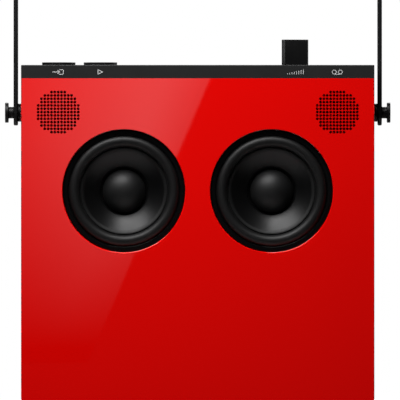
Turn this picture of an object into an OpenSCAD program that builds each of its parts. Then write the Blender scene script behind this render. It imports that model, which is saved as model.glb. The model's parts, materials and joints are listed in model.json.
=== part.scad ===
// Portable stereo speaker with a swinging carrying handle.
// Millimetres. Origin at the centre of the footprint on the table, +Z up, the front faces -Y.
// "Depth" values are measured back from the front face; "left" is the side at -X.

/* [Body] */
// Width of the cabinet
body_w = 233; // [232:1:242]
// Height of the cabinet without its feet
body_h = 225; // [224:1:240]
// Depth from the front face to the rear face
body_d = 58; // [58:1:64]
// Thickness of the cabinet walls
wall = 3; // [2.8:0.1:3.2]
// Thickness of the front panel and of the rear cover
panel_t = 3; // [2.8:0.1:3]
// Height of the rubber feet
foot_h = 1.5; // [1:0.5:3]
// Radius of the small rounding on the outer edges
edge_r = 0.5; // [0.4:0.1:1.2]

/* [Woofers] */
// Distance of each woofer from the middle
woofer_x = 48.7; // [48:0.1:52]
// Woofer centre below the top of the cabinet
woofer_drop = 83.1; // [83:0.1:88]
// Radius of the woofer holes in the front panel
woofer_r = 40.5; // [40.5:0.1:41]
// Travel of each cone to either side of rest
cone_travel = 2; // [1:0.5:2.5]

/* [Tweeters] */
// Distance of each tweeter from the middle
tweeter_x = 92; // [91:0.1:93]
// Tweeter centre below the top of the cabinet
tweeter_drop = 31.1; // [31:0.1:33]
// Distance between the holes of a grille
hole_pitch = 2.2; // [2.1:0.1:2.3]
// Diameter of one grille hole
hole_d = 1.8; // [1.2:0.1:1.8]

/* [Top panel and controls] */
// Height of the top panel
top_h = 8.8; // [8.6:0.1:9.2]
// Distance of the outer controls from the middle
outer_x = 92; // [90:0.5:94]
// Distance of the inner controls from the middle
inner_x = 64.4; // [62:0.2:66]
// Diameter of the two push buttons
button_d = 22.2; // [18:0.2:23]
// How far the buttons stand above the top panel
button_rise = 2; // [1.2:0.1:3]
// Travel of a push button
button_travel = 0.9; // [0.5:0.1:1]
// Diameter of the volume knob
knob_d = 17.6; // [14:0.2:22]
// Height of the volume knob above the top panel
knob_h = 17.1; // [12:0.1:20]
// Distance of the knob's flat from its axis
knob_flat = 4.6; // [4:0.1:6]
// Diameter of the turning disc
disc_d = 22; // [16:0.5:22]

/* [Handle] */
// Pivot below the top of the cabinet
pivot_drop = 31.2; // [31:0.1:33]
// Top of the handle above the top of the cabinet
handle_rise = 56; // [45:1:80]
// Thickness of the handle bar
handle_t = 2.8; // [2.4:0.1:3.2]
// Width of the handle bar
handle_w = 17; // [14:0.5:20]
// Outside radius of the handle's two bends
bend_r = 8; // [6:0.5:14]
// Diameter of the spacer washers
washer_d = 12; // [10:0.5:14]

/* [Hidden] */

$fn = 48;
eps = 0.01;

// Outer limits of the cabinet and its layers
z_low = foot_h;
z_high = foot_h + body_h;
strip_z = z_high - top_h;
front_y = -body_d / 2;
rear_y = body_d / 2;
shell_front = front_y + panel_t;
shell_rear = rear_y - panel_t;

// Baffle inside the cabinet, and the floor of the control bay under the top panel
baffle_depth = 8;
baffle_t = 3;
baffle_back = front_y + baffle_depth + baffle_t;
bay_z = z_high - 10.5;
bay_t = 3;
top_skin = 2.5;
skin_z = z_high - top_skin;

woofer_z = z_high - woofer_drop;
tweeter_z = z_high - tweeter_drop;
pivot_z = z_high - pivot_drop;

// Woofer: radii, and depths from the front face
flange_r = woofer_r + 5.3;
baffle_hole_r = woofer_r - 3.3;
ring_in_r = woofer_r - 4.2;
roll_r = 3.45;
roll_t = 0.6;
roll_mid_r = ring_in_r - 0.1 - roll_r;
foot_t = 0.6;
seat_depth = 5;
lip_depth = seat_depth + foot_t;
lip_out_r = roll_mid_r - roll_r - 0.1;
lip_in_r = lip_out_r - 2.7;
coil_in_r = 12.4;
coil_out_r = 12.8;
wire_out_r = 13.4;
former_depth = 12.1;
neck_depth = 16.6;
neck_r = coil_out_r + 0.05;
cap_r = 14.5;
cap_rise = 8.2;
cap_edge_depth = 13.6;
cap_t = 0.5;
spider_depth = 19.4;
plate_depth = 27.5;
pole_depth = plate_depth + 0.5;
pole_t = 3.5;
wire_depth = pole_depth - cone_travel;
wire_end = pole_depth + pole_t + cone_travel;
yoke_r = 17;
yoke_depth = 44;
yoke_t = 4;
gasket_depth = 7.2;
screw_circle_r = woofer_r + 2.7;
screw_turns = [45:90:315];

// Tweeter
tweeter_hole_r = 15.2;
tweeter_ear = 19;

// Controls
board_z = bay_z + 1.2;
board_t = 1.2;
switch_h = 3;
switch_z = board_z + board_t;
boss_z = switch_z + switch_h + button_travel + 0.1;
board_posts_x = [-100, -20, 20, 100];
board_posts_y = -8;
lid_posts_x = 100;
lid_posts_y = 19.5;
button_top = z_high + button_rise;
button_taper = 0.4;
knob_turn = 10;
control_gap = 0.3;
shaft_r = 2;
bush_r = 4;
motor_r = 9.5;
motor_h = 16;
motor_hole = 7;
shaft_in = 12;

// Handle and its pivots
washer_t = 2.4;
side_gap = 0.1;
arm_in = body_w / 2 + washer_t + side_gap;
arm_out = arm_in + handle_t;
handle_top = z_high + handle_rise;
shoulder_r = 3;
shank_r = 2.5;
neck_d = 7.7;
neck_l = 3.3;
head_d = 13.3;
head_t = 2.3;
insert_l = 10;

// Rear cover screws as [x, z]
screw_in = 6.5;
screw_pitch = 84;
cover_screws = [
  for (s = [-1, 1]) for (row = [0:2]) [s * (body_w / 2 - screw_in), z_low + screw_in + row * screw_pitch],
  [0, z_low + screw_in], [0, bay_z - bay_t - 6],
];

// Boards, battery and sockets
pcb_w = 168;
pcb_low = 12;
pcb_high = 92;
pcb_y = 14;
pcb_t = 1.6;
pcb_posts = [for (sx = [-1, 1]) for (z = [pcb_low + 5, pcb_high - 5]) [sx * (pcb_w / 2 - 5), z]];
cell_d = 18.3;
cell_l = 65;
cell_y = baffle_back + 1.5 + cell_d / 2 + 0.2;
cell_rows = [24, 44];
clamp_x = 74;
clamp_z = 34;
jack_x = 66;
usb_x = 48;
socket_z = 24;
jack_bore_r = 1.8;
jack_deep = 14.4;
pocket_d = 1.2;

// ---- shared shapes ----

// Puts a turned shape on a horizontal axis that runs back from the front face
module at_front(x, z) translate([x, front_y, z]) rotate([-90, 0, 0]) children();

// A box given by its low and high corners
module block(low, high) translate(low) cube(high - low);

// A disc or pin along X, from x to x + l
module pin_x(x, y, z, r, l) translate([x, y, z]) rotate([0, 90, 0]) cylinder(r = r, h = l);

// A pin along Y, from y to y + l
module pin_y(x, y, z, r, l) translate([x, y, z]) rotate([-90, 0, 0]) cylinder(r = r, h = l);

// A cylinder on the Z axis, from z0 to z1
module upright(r, z0, z1) translate([0, 0, z0]) cylinder(r = r, h = z1 - z0);

// Points on an arc from angle a0 to a1
function arc(cx, cy, r, a0, a1, n) =
  [for (i = [0:n]) let (a = a0 + (a1 - a0) * i / n) [cx + r * cos(a), cy + r * sin(a)]];

// Outline of a strip of width w and thickness t whose two corners at y = 0 are rounded
module eased_strip(w, t, r) polygon(concat(
  [[-w / 2, t]], arc(-w / 2 + r, r, r, 180, 270, 4),
  arc(w / 2 - r, r, r, 270, 360, 4), [[w / 2, t]]));

// A plate, its outer face at y = 0, with eased side and bottom edges
module eased_plate(w, h, t, r) intersection() {
  linear_extrude(h) eased_strip(w, t, r);
  translate([-w / 2, 0, 0]) rotate([90, 0, 90]) linear_extrude(w)
    polygon(concat([[t, 0]], arc(r, r, r, 270, 180, 4), [[0, h], [t, h]]));
}

// A pan-head screw along -Y at the origin: the head stands at y < 0
module pan_screw(head_r, head_h, r, l) rotate([-90, 0, 0]) difference() {
  union() {
    translate([0, 0, -head_h]) cylinder(r = head_r, h = head_h);
    translate([0, 0, -eps]) cylinder(r = r, h = l + eps);
  }
  translate([0, 0, -head_h - eps]) cylinder(r = head_r * 0.42, h = head_h * 0.6, $fn = 6);
}

// ---- cabinet ----

module cabinet() color("#1a1a1b") difference() {
  union() {
    difference() {
      block([-body_w / 2, shell_front, z_low], [body_w / 2, shell_rear, strip_z]);
      // front pocket, rear chamber and control bay
      block([-body_w / 2 + wall, shell_front - 1, z_low + wall],
            [body_w / 2 - wall, front_y + baffle_depth, bay_z - bay_t]);
      block([-body_w / 2 + wall, baffle_back, z_low + wall],
            [body_w / 2 - wall, shell_rear + 1, bay_z - bay_t]);
      block([-body_w / 2 + wall, shell_front + wall, bay_z],
            [body_w / 2 - wall, shell_rear - wall, strip_z + 1]);
    }
    for (p = cover_screws) pin_y(p[0], baffle_back - 1, p[1], 3.6, shell_rear - baffle_back + 1);
    for (p = pcb_posts) pin_y(p[0], baffle_back - 1, p[1], 3, pcb_y - baffle_back + 1);
    for (s = [-1, 1])
      pin_x(s > 0 ? body_w / 2 - insert_l - 3 : -body_w / 2 + 1, 0, pivot_z, 7, insert_l + 2);
    for (x = board_posts_x) translate([x, board_posts_y, 0]) upright(2.4, bay_z - 1, board_z);
  }
  for (s = [-1, 1]) {
    at_front(s * woofer_x, woofer_z) translate([0, 0, shell_front - front_y])
      cylinder(r = baffle_hole_r, h = 12);
    at_front(s * tweeter_x, tweeter_z) translate([0, 0, shell_front - front_y])
      cylinder(r = tweeter_hole_r, h = baffle_depth + 1);
    for (a = screw_turns) at_front(s * woofer_x, woofer_z) rotate([0, 0, a])
      translate([screw_circle_r, 0, baffle_depth - 1]) cylinder(r = 1.5, h = 5);
    for (e = [-1, 1]) pin_y(s * tweeter_x + e * ear_xz(), baffle_back - 2.4, tweeter_z - ear_xz(), 1.1, 3);
    // the bore for the threaded insert, and the hole for the thumbscrew's shank
    pin_x(s > 0 ? body_w / 2 - insert_l - 3 - 1 : -body_w / 2 + wall, 0, pivot_z, 4, insert_l + 1);
    pin_x(s > 0 ? body_w / 2 - wall - 1 : -body_w / 2 - 1, 0, pivot_z, 2.8, wall + 2);
    translate([s > 0 ? inner_x : outer_x, 0, bay_z - bay_t - 1]) cylinder(r = bush_r, h = bay_t + 2);
    for (e = [-1, 1]) translate([(s > 0 ? inner_x : outer_x), e * motor_hole, bay_z - bay_t - 1])
      cylinder(r = 1.1, h = bay_t + 2);
    translate([s * lid_posts_x, lid_posts_y, 0]) upright(1.6, bay_z - bay_t - 1, bay_z + 1);
  }
  for (p = cover_screws) pin_y(p[0], shell_rear - 8, p[1], 1.2, 9);
  for (p = pcb_posts) pin_y(p[0], pcb_y - 6, p[1], 1.2, 7);
  for (x = board_posts_x) translate([x, board_posts_y, 0]) upright(0.9, bay_z - 2, bay_z + 2);
  for (p = panel_pegs()) pin_y(p[0], front_y + baffle_depth - 1, p[1], 2, baffle_t + 2);
  for (s = [-1, 1]) pin_y(s * clamp_x, baffle_back - 2.6, clamp_z, 1.2, 3);
  // groove for the rear seal
  translate([0, shell_rear + eps, 0]) seal_ring(1 + eps);
  // slot for the flat cable
  block([-21, 11, bay_z - bay_t - 1], [-7, 13.4, bay_z + 1]);
}

function ear_xz() = tweeter_ear * sin(45);

// Rubber ring seated in the cabinet's rear edge, thickness t towards the front
module seal_ring(t) translate([0, 0, (z_low + strip_z) / 2]) rotate([90, 0, 0]) linear_extrude(t)
  difference() {
    square([body_w - 1.6, strip_z - z_low - 1.6], center = true);
    square([body_w - 4.4, strip_z - z_low - 4.4], center = true);
  }

module rear_seal() color("#111111") translate([0, shell_rear, 0]) seal_ring(1);

// ---- front panel ----

// Push-in pegs on the back of the front panel, as [x, z]
function panel_pegs() = concat(
  [for (s = [-1, 1]) for (z = [z_low + 12, z_low + 62]) [s * 106, z]],
  [for (z = [z_low + 40, z_high - 22]) [0, z]]);

module grille_holes(x) {
  n = 6;
  for (i = [-n:n]) for (j = [-n:n]) if (i * i + j * j <= n * n + 5)
    pin_y(x + i * hole_pitch, front_y - 1, tweeter_z + j * hole_pitch, hole_d / 2, panel_t + 2, $fn = 16);
}

module front_panel() color("#c80502") difference() {
  union() {
    translate([0, front_y, z_low]) eased_plate(body_w, strip_z - z_low, panel_t, edge_r);
    for (p = panel_pegs()) pin_y(p[0], shell_front - 1, p[1], 2, 8.5);
  }
  for (s = [-1, 1]) {
    at_front(s * woofer_x, woofer_z) {
      translate([0, 0, -1]) cylinder(r = woofer_r, h = panel_t + 2, $fn = 128);
      translate([0, 0, -eps]) cylinder(r1 = woofer_r + 0.6, r2 = woofer_r, h = 0.6, $fn = 128);
    }
    grille_holes(s * tweeter_x);
  }
}

// ---- rear cover ----

module rear_cover() color("#19191a") difference() {
  union() {
    translate([0, rear_y, z_low]) mirror([0, 1, 0]) eased_plate(body_w, strip_z - z_low, panel_t, edge_r);
    // stiffening ribs
    for (x = [-75, -25, 25, 75]) block([x - 1, shell_rear - 1.5, 98], [x + 1, shell_rear + 1, bay_z - 14]);
    for (z = [100, 150]) block([-95, shell_rear - 1.5, z - 1], [95, shell_rear + 1, z + 1]);
  }
  for (p = cover_screws) {
    pin_y(p[0], shell_rear - 1, p[1], 1.6, panel_t + 2);
    pin_y(p[0], rear_y - 1.6, p[1], 3, 3);
  }
  // pocket around the two sockets
  block([usb_x - 12, rear_y - pocket_d, socket_z - 8], [jack_x + 10, rear_y + 1, socket_z + 8]);
  pin_y(jack_x, shell_rear - 1, socket_z, 3.3, panel_t + 2);
  block([usb_x - 4.9, shell_rear - 1, socket_z - 2.1], [usb_x + 4.9, rear_y + 1, socket_z + 2.1]);
}

module rear_cover_screws() color("#3a3a3c") for (p = cover_screws)
  translate([p[0], rear_y - 1.6, p[1]]) mirror([0, 1, 0]) pan_screw(2.7, 1.3, 1.2, 8.5);

// ---- top panel ----

module top_panel() color("#29292a") difference() {
  union() {
    difference() {
      top_block();
      block([-body_w / 2 + 2.5, front_y + 2.5, strip_z - 1], [body_w / 2 - 2.5, rear_y - 2.5, skin_z]);
    }
    for (s = [-1, 1]) translate([s * lid_posts_x, lid_posts_y, 0]) upright(3.2, bay_z, skin_z + 1);
  }
  for (s = [-1, 1]) translate([s * lid_posts_x, lid_posts_y, 0]) upright(1.2, bay_z - 1, bay_z + 6.5);
  // the openings for the two buttons, the knob's shaft and the disc
  for (x = [-outer_x, -inner_x]) translate([x, 0, 0])
    upright(button_d / 2 + control_gap, skin_z - 1, z_high + 1, $fn = 96);
  translate([inner_x, 0, 0]) upright(4.5, skin_z - 1, z_high + 1);
  translate([outer_x, 0, 0]) upright(disc_d / 2 + control_gap, skin_z - 1, z_high + 1, $fn = 96);
}

// The top panel's outside: its four upper edges are eased
module top_block() intersection() {
  translate([0, rear_y, strip_z]) rotate([90, 0, 0]) linear_extrude(body_d)
    translate([0, top_h]) mirror([0, 1]) eased_strip(body_w, top_h, edge_r);
  translate([-body_w / 2, 0, strip_z]) rotate([90, 0, 90]) linear_extrude(body_w)
    translate([0, top_h]) mirror([0, 1]) eased_strip(body_d, top_h, edge_r);
}

module top_panel_screws() color("#8a8a8c") for (s = [-1, 1])
  translate([s * lid_posts_x, lid_posts_y, bay_z - bay_t]) rotate([90, 0, 0]) pan_screw(2.8, 1.8, 1.2, 9);

module feet() color("#0e0e0e") for (sx = [-1, 1]) for (sy = [-1, 1])
  translate([sx * (body_w / 2 - 17), sy * (body_d / 2 - 12), 0]) rotate_extrude()
    polygon([[0, 0], [7.2, 0], [8, 0.6], [8, z_low], [0, z_low]]);

// ---- handle ----

module handle() color("#161617") difference() {
  union() {
    for (s = [-1, 1]) {
      x = s > 0 ? arm_in : -arm_out;
      block([x, -handle_w / 2, pivot_z], [x + handle_t, handle_w / 2, handle_top - bend_r]);
      pin_x(x, 0, pivot_z, handle_w / 2, handle_t);
      translate([s * (arm_out - bend_r), 0, handle_top - bend_r]) rotate([90, 0, 0])
        rotate([0, 0, s > 0 ? 0 : 90]) rotate_extrude(angle = 90, $fn = 96)
          translate([bend_r - handle_t, -handle_w / 2]) square([handle_t, handle_w]);
    }
    block([-arm_out + bend_r, -handle_w / 2, handle_top - handle_t],
          [arm_out - bend_r, handle_w / 2, handle_top]);
  }
  for (s = [-1, 1]) pin_x(s > 0 ? arm_in - 1 : -arm_out - 1, 0, pivot_z, shoulder_r + 0.05, handle_t + 2);
}

module pivot_washer(s) color("#141415") difference() {
  pin_x(s > 0 ? body_w / 2 : -body_w / 2 - washer_t, 0, pivot_z, washer_d / 2, washer_t);
  pin_x(s > 0 ? body_w / 2 - 1 : -body_w / 2 - washer_t - 1, 0, pivot_z, 2.8, washer_t + 2);
}
module left_pivot_washer() pivot_washer(-1);
module right_pivot_washer() pivot_washer(1);

module pivot_inserts() color("#b08d45") for (s = [-1, 1]) difference() {
  pin_x(s > 0 ? body_w / 2 - wall - insert_l : -body_w / 2 + wall, 0, pivot_z, 4, insert_l);
  pin_x(s > 0 ? body_w / 2 - wall - insert_l - 1 : -body_w / 2 + wall - 1, 0, pivot_z,
        shank_r + 0.05, insert_l + 2);
}

// Turned about X at the pivot, pointing outwards from the middle of the object
module thumbscrew(s) color("#151516") translate([s * (arm_out + side_gap), 0, pivot_z]) rotate([0, s * 90, 0])
  rotate_extrude() polygon([
    [0, -17], [shank_r - 0.4, -17], [shank_r, -16.6], [shank_r, -handle_t - side_gap - 0.05],
    [shoulder_r, -handle_t - side_gap - 0.05], [shoulder_r, 0], [neck_d / 2, 0],
    [neck_d / 2, neck_l], [head_d / 2 - 0.3, neck_l], [head_d / 2, neck_l + 0.3],
    [head_d / 2, neck_l + head_t - 0.3], [head_d / 2 - 0.3, neck_l + head_t], [0, neck_l + head_t],
  ]);
module left_thumbscrew() thumbscrew(-1);
module right_thumbscrew() thumbscrew(1);

// ---- push buttons ----

// A cap with a retaining rim under the skin and a boss that rests on the switch
module button(x) color("#1b1b1c") translate([x, 0, 0]) rotate_extrude($fn = 96) polygon([
  [0, boss_z], [2.4, boss_z], [2.4, skin_z + 1.2], [button_d / 2 - 1.6, skin_z + 1.2],
  [button_d / 2 - 1.6, skin_z - 1.1], [button_d / 2 + 0.9, skin_z - 1.1],
  [button_d / 2 + 0.9, skin_z - control_gap], [button_d / 2 - button_taper, skin_z - control_gap],
  [button_d / 2, button_top - 0.4], [button_d / 2 - 0.4, button_top], [0, button_top],
]);
module input_button() button(-outer_x);
module play_button() button(-inner_x);

module plunger(x) color("#101010") translate([x, 0, 0])
  upright(1.7, switch_z + 0.4 + button_travel, boss_z);
module input_plunger() plunger(-outer_x);
module play_plunger() plunger(-inner_x);

module button_switches() color("#4a4a4c") for (x = [-outer_x, -inner_x]) difference() {
  block([x - 3, -3, switch_z], [x + 3, 3, switch_z + switch_h]);
  translate([x, 0, 0]) upright(2, switch_z + 0.3, z_high);
}

// ---- volume knob and turning disc ----

// A round knob with one flat, turned a little towards the right
module volume_knob() color("#2a2a2b") translate([inner_x, 0, z_high + control_gap]) difference() {
  h = knob_h - control_gap;
  rotate_extrude($fn = 96) polygon([[0, 0], [knob_d / 2 - 0.4, 0], [knob_d / 2, 0.4],
    [knob_d / 2, h - 0.4], [knob_d / 2 - 0.4, h], [0, h]]);
  rotate([0, 0, knob_turn]) block([-knob_d, -knob_d, -1], [knob_d, -knob_flat, h + 1]);
  translate([0, 0, -1]) cylinder(r = shaft_r, h = 13);
}

module volume_shaft() color("#9a9a9c") translate([inner_x, 0, 0])
  upright(shaft_r, bay_z - bay_t - shaft_in, z_high + control_gap + 11.5);

module tape_disc() color("#2e2e2f") translate([outer_x, 0, 0]) difference() {
  rotate_extrude($fn = 96) polygon([
    [shaft_r, skin_z - 1.6], [5, skin_z - 1.6], [5, skin_z + 0.4], [disc_d / 2, skin_z + 0.4],
    [disc_d / 2, z_high - 0.4], [disc_d / 2 - 0.3, z_high - 0.1], [0, z_high - 0.1],
    [0, z_high - 1.4], [shaft_r, z_high - 1.4],
  ]);
  // finger dimple
  translate([6.4, 0, z_high + 5.2]) sphere(r = 6, $fn = 64);
}

module tape_shaft() color("#9a9a9c") translate([outer_x, 0, 0])
  upright(shaft_r, bay_z - bay_t - shaft_in, z_high - 1.6);

module motor(x) color("#77787a") translate([x, 0, bay_z - bay_t]) difference() {
  translate([0, 0, -motor_h]) rotate_extrude($fn = 64)
    polygon([[0, 0], [motor_r - 0.8, 0], [motor_r, 0.8], [motor_r, motor_h], [0, motor_h]]);
  upright(shaft_r + 0.3, -shaft_in - 0.5, 1);
  for (e = [-1, 1]) translate([0, e * motor_hole, 0]) upright(0.9, -4, 1);
}
module volume_motor() motor(inner_x);
module tape_motor() motor(outer_x);

module shaft_bushes() color("#b08d45") for (x = [inner_x, outer_x]) translate([x, 0, 0]) difference() {
  upright(bush_r, bay_z - bay_t, bay_z + 5);
  upright(shaft_r + 0.05, bay_z - bay_t - 1, bay_z + 6);
}

module motor_screws() color("#8a8a8c") for (x = [inner_x, outer_x]) for (e = [-1, 1])
  translate([x, e * motor_hole, bay_z]) rotate([-90, 0, 0]) pan_screw(1.7, 0.9, 0.9, 6);

module control_board() color("#2d5b39") difference() {
  union() {
    block([-108, -19, board_z], [108, 14, switch_z]);
    // flat-cable socket and chips
    block([-21, 6, switch_z], [-7, 11.4, switch_z + 2]);
    for (x = [30, 44, 78]) block([x - 3, -15, switch_z], [x + 3, -9, switch_z + 1]);
  }
  for (x = [inner_x, outer_x]) {
    translate([x, 0, 0]) upright(bush_r + 0.5, board_z - 1, switch_z + 1);
    for (e = [-1, 1]) translate([x, e * motor_hole, 0]) upright(2.2, board_z - 1, switch_z + 1);
  }
  for (x = board_posts_x) translate([x, board_posts_y, 0]) upright(1.2, board_z - 1, switch_z + 1);
  block([-21, 11.6, board_z - 1], [-7, 12.8, switch_z + 1]);
}

module control_board_screws() color("#8a8a8c") for (x = board_posts_x)
  translate([x, board_posts_y, switch_z]) rotate([-90, 0, 0]) pan_screw(1.9, 1.2, 0.9, 4);

// ---- woofers ----

module basket(s) color("#1d1d1e") at_front(s * woofer_x, woofer_z) difference() {
  rotate_extrude($fn = 96) polygon([
    [flange_r, lip_depth], [flange_r, gasket_depth], [woofer_r - 3.5, gasket_depth], [woofer_r - 3.5, 9],
    [29.8, 19],
    [29.8, 21.2], [23, 26.2], [23, plate_depth], [14.2, plate_depth], [14.2, plate_depth - 1.3],
    [21.8, plate_depth - 1.3], [25.8, 21.2], [25.8, 20], [28.6, 20], [28.6, 18.6],
    [woofer_r - 4.7, 8.8], [woofer_r - 4.7, lip_depth],
  ]);
  for (i = [0:5]) rotate([0, 0, 60 * i + 30]) block([24, -8, 10], [44, 8, 18]);
  for (a = screw_turns) rotate([0, 0, a]) translate([screw_circle_r, 0, 0]) cylinder(r = 1.6, h = 12);
}
module left_basket() basket(-1);
module right_basket() basket(1);

// Half-roll surround with an outer and an inner glued foot
module surround(s) color("#202021") at_front(s * woofer_x, woofer_z) rotate_extrude($fn = 96) polygon(concat(
  [[ring_in_r + 3.2, lip_depth], [ring_in_r + 3.2, seat_depth]],
  arc(roll_mid_r, seat_depth, roll_r, 0, -180, 12),
  [[lip_in_r, seat_depth], [lip_in_r, lip_depth], [roll_mid_r - roll_r + roll_t, lip_depth]],
  arc(roll_mid_r, seat_depth, roll_r - roll_t, -180, 0, 12),
  [[roll_mid_r + roll_r - roll_t, lip_depth]]));
module left_surround() surround(-1);
module right_surround() surround(1);

module cone(s) color("#222223") at_front(s * woofer_x, woofer_z) rotate_extrude($fn = 96) polygon([
  [lip_out_r, lip_depth], [lip_in_r, lip_depth], [neck_r, neck_depth], [neck_r, neck_depth + 0.8],
  [lip_in_r + 0.2, lip_depth + 0.6], [lip_out_r, lip_depth + 0.6],
]);
module left_cone() cone(-1);
module right_cone() cone(1);

module dust_cap(s) color("#232324") at_front(s * woofer_x, woofer_z) {
  ball_r = (cap_r * cap_r + cap_rise * cap_rise) / (2 * cap_rise);
  edge_a = asin(cap_r / ball_r);
  centre = cap_edge_depth - cap_rise + ball_r;
  rotate_extrude($fn = 96) polygon(concat(
    arc(0, centre, ball_r, -90, -90 + edge_a, 12),
    arc(0, centre, ball_r - cap_t, -90 + edge_a, -90, 12)));
}
module left_dust_cap() dust_cap(-1);
module right_dust_cap() dust_cap(1);

module voice_coil(s) color("#a5642e") at_front(s * woofer_x, woofer_z) difference() {
  union() {
    upright(coil_out_r, former_depth, wire_end);
    upright(wire_out_r, wire_depth, wire_end);
  }
  upright(coil_in_r, former_depth - 1, wire_end + 1);
}
module left_voice_coil() voice_coil(-1);
module right_voice_coil() voice_coil(1);

// Height of the centring disc's corrugation at step i of n
function wave(i, n) = spider_depth - 0.3 + 0.7 * sin(i * 360 * 4 / n);

// Corrugated centring disc between the coil former and the basket's ledge
module spider(s) color("#8a6b3c") at_front(s * woofer_x, woofer_z) {
  n = 36;
  r0 = coil_out_r + 0.1;
  r1 = 25;
  rotate_extrude($fn = 72) polygon(concat(
    [for (i = [0:n]) [r0 + (r1 - r0) * i / n, wave(i, n) - 0.2]],
    [[28.4, spider_depth], [28.4, spider_depth + 0.6], [25.4, spider_depth + 0.6]],
    [for (i = [n:-1:0]) [r0 + (r1 - r0) * i / n, wave(i, n) + 0.2]]));
}
module left_spider() spider(-1);
module right_spider() spider(1);

// Steel cup of the woofer's motor
module yoke(s) color("#8f9092") at_front(s * woofer_x, woofer_z) rotate_extrude($fn = 96) polygon([
  [13.8, plate_depth], [yoke_r, plate_depth], [yoke_r, yoke_depth - 1], [yoke_r - 1, yoke_depth],
  [0, yoke_depth], [0, yoke_depth - yoke_t], [13.8, yoke_depth - yoke_t],
]);
module left_yoke() yoke(-1);
module right_yoke() yoke(1);

// The magnet slug and, on top of it, the pole plate inside each coil
module woofer_magnets() color("#b9babc") for (s = [-1, 1]) at_front(s * woofer_x, woofer_z)
  rotate_extrude($fn = 72) polygon([
    [0, pole_depth], [12, pole_depth], [12, pole_depth + pole_t], [11.2, pole_depth + pole_t],
    [11.2, yoke_depth - yoke_t], [0, yoke_depth - yoke_t],
  ]);

module woofer_trim_rings() color("#171718") for (s = [-1, 1]) at_front(s * woofer_x, woofer_z)
  rotate_extrude($fn = 128) polygon([
    [ring_in_r, seat_depth], [ring_in_r, panel_t + 0.5], [ring_in_r + 0.5, panel_t],
    [woofer_r - 0.3, panel_t], [woofer_r - 0.3, lip_depth], [ring_in_r + 3.4, lip_depth],
    [ring_in_r + 3.4, seat_depth],
  ]);

module woofer_gaskets() color("#0f0f0f") for (s = [-1, 1]) at_front(s * woofer_x, woofer_z) difference() {
  upright(flange_r, gasket_depth, baffle_depth);
  upright(baffle_hole_r, gasket_depth - 1, baffle_depth + 1);
  for (a = screw_turns) rotate([0, 0, a]) translate([screw_circle_r, 0, 0]) cylinder(r = 1.8, h = 12);
}

module woofer_screws() color("#3a3a3c") for (s = [-1, 1]) for (a = screw_turns)
  translate([s * woofer_x, 0, woofer_z]) rotate([0, a, 0])
    translate([screw_circle_r, front_y + lip_depth, 0]) pan_screw(2.5, 1.6, 1.4, 5);

// ---- tweeters ----

module tweeter(s) color("#1c1c1d") difference() {
  union() {
    at_front(s * tweeter_x, tweeter_z) {
      upright(tweeter_hole_r - 0.2, 5, 13);
      upright(16.8, baffle_depth + baffle_t, 13);
      upright(11, 12.9, 17.8);
    }
    for (e = [-1, 1]) {
      pin_y(s * tweeter_x + e * ear_xz(), baffle_back, tweeter_z - ear_xz(), 2.6, 2);
      translate([s * tweeter_x, baffle_back, tweeter_z]) rotate([0, 45 + (e + 1) * 45, 0])
        block([0, 0, -2.6], [tweeter_ear, 2, 2.6]);
    }
  }
  // waveguide, then the well behind the dome
  at_front(s * tweeter_x, tweeter_z) {
    translate([0, 0, 5 - eps]) cylinder(r1 = 14, r2 = 10.4, h = 4.5);
    upright(10.4, 9, 12);
  }
  for (e = [-1, 1]) pin_y(s * tweeter_x + e * ear_xz(), baffle_back - 1, tweeter_z - ear_xz(), 1.2, 4);
}
module left_tweeter() tweeter(-1);
module right_tweeter() tweeter(1);

module tweeter_domes() color("#6c6d70") for (s = [-1, 1]) at_front(s * tweeter_x, tweeter_z)
  rotate_extrude() polygon(concat(
    arc(0, 17, 9.5, -90, -38, 10), [[10.2, 11.2], [10.2, 11.9], [7, 11.9]], arc(0, 17, 9, -42, -90, 10)));

module tweeter_screens() color("#0c0c0c") for (s = [-1, 1]) at_front(s * tweeter_x, tweeter_z)
  upright(17, panel_t, panel_t + 0.5);

module tweeter_screws() color("#8a8a8c") for (s = [-1, 1]) for (e = [-1, 1])
  translate([s * tweeter_x + e * ear_xz(), baffle_back + 2, tweeter_z - ear_xz()]) mirror([0, 1, 0])
    pan_screw(1.9, 1.3, 1.05, 4);

// ---- power and electronics ----

module battery_cells() color("#2f6f9f") for (s = [-1, 1]) for (z = cell_rows)
  pin_x(s > 0 ? 1 : -1 - cell_l, cell_y, z, cell_d / 2, cell_l);

module battery_bracket() color("#252526") difference() {
  union() {
    block([-69, baffle_back, cell_rows[0] - 11.5], [69, cell_y + 4, cell_rows[1] + 11.5]);
    block([-clamp_x - 5, baffle_back, clamp_z - 6], [clamp_x + 5, baffle_back + 3, clamp_z + 6]);
  }
  for (z = cell_rows) {
    pin_x(-66.4, cell_y, z, cell_d / 2 + 0.2, 132.8);
    block([-66.4, cell_y, z - cell_d / 2 - 0.2], [66.4, cell_y + 6, z + cell_d / 2 + 0.2]);
  }
  for (s = [-1, 1]) pin_y(s * clamp_x, baffle_back - 1, clamp_z, 1.6, 6);
}

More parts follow.
